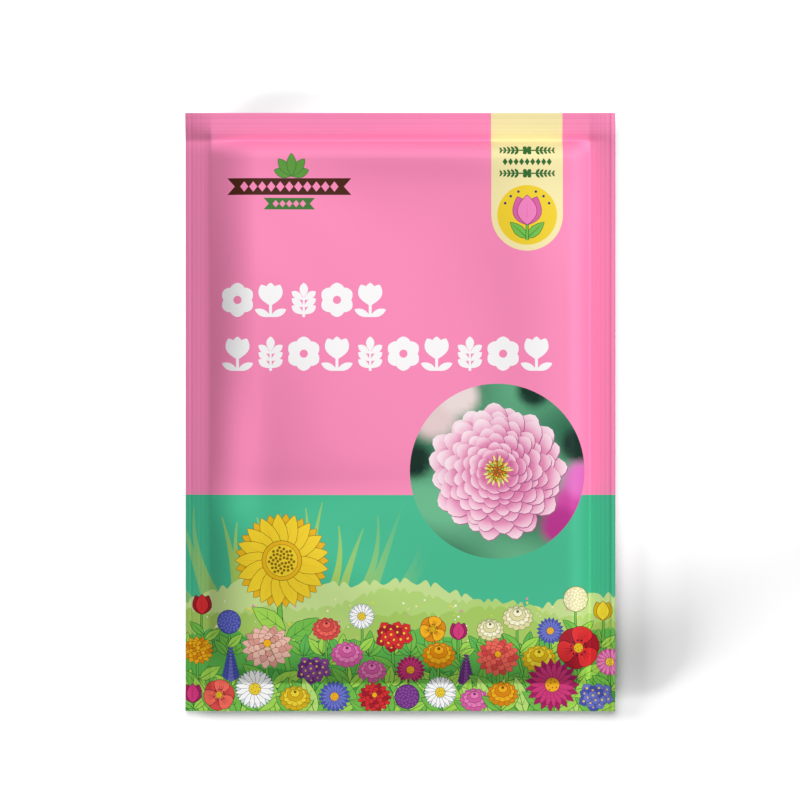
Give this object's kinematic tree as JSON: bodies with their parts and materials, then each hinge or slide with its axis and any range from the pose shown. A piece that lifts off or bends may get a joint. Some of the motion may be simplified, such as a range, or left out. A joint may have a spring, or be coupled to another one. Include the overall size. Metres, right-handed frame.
{
  "type": "seed packet",
  "caption": "Flat heat-sealed film packet, slightly swollen, with ribbed seals on all four edges and loose flat seeds inside.",
  "frame": {"origin": "on the surface that the packet lies on, below the middle of its outline", "axes": "+Z out of the packet's front, +Y towards its top edge, +X to the right as the front is read"},
  "size_m": [0.1006, 0.14, 0.0103],
  "materials": {
    "front_print": "pink printed laminated film with a soft satin surface",
    "back_print": "pink printed laminated film with a soft satin surface, lighter panels printed on it",
    "seed_coat": "dry, dull grey-brown seed coat with faint lengthwise ribs"
  },
  "bodies": {
    "root": {"film_front": "front_print", "film_back": "back_print", "seed_01": "seed_coat", "seed_02": "seed_coat", "seed_03": "seed_coat", "seed_04": "seed_coat", "seed_05": "seed_coat", "seed_06": "seed_coat", "seed_07": "seed_coat", "seed_08": "seed_coat", "seed_09": "seed_coat", "seed_10": "seed_coat", "seed_11": "seed_coat", "seed_12": "seed_coat", "seed_13": "seed_coat", "seed_14": "seed_coat", "seed_15": "seed_coat", "seed_16": "seed_coat", "seed_17": "seed_coat", "seed_18": "seed_coat", "seed_19": "seed_coat", "seed_20": "seed_coat", "seed_21": "seed_coat", "seed_22": "seed_coat", "seed_23": "seed_coat", "seed_24": "seed_coat", "seed_25": "seed_coat", "seed_26": "seed_coat", "seed_27": "seed_coat", "seed_28": "seed_coat", "seed_29": "seed_coat", "seed_30": "seed_coat", "seed_31": "seed_coat", "seed_32": "seed_coat", "seed_33": "seed_coat", "seed_34": "seed_coat", "seed_35": "seed_coat", "seed_36": "seed_coat", "seed_37": "seed_coat", "seed_38": "seed_coat", "seed_39": "seed_coat", "seed_40": "seed_coat"}
  },
  "joints": []
}
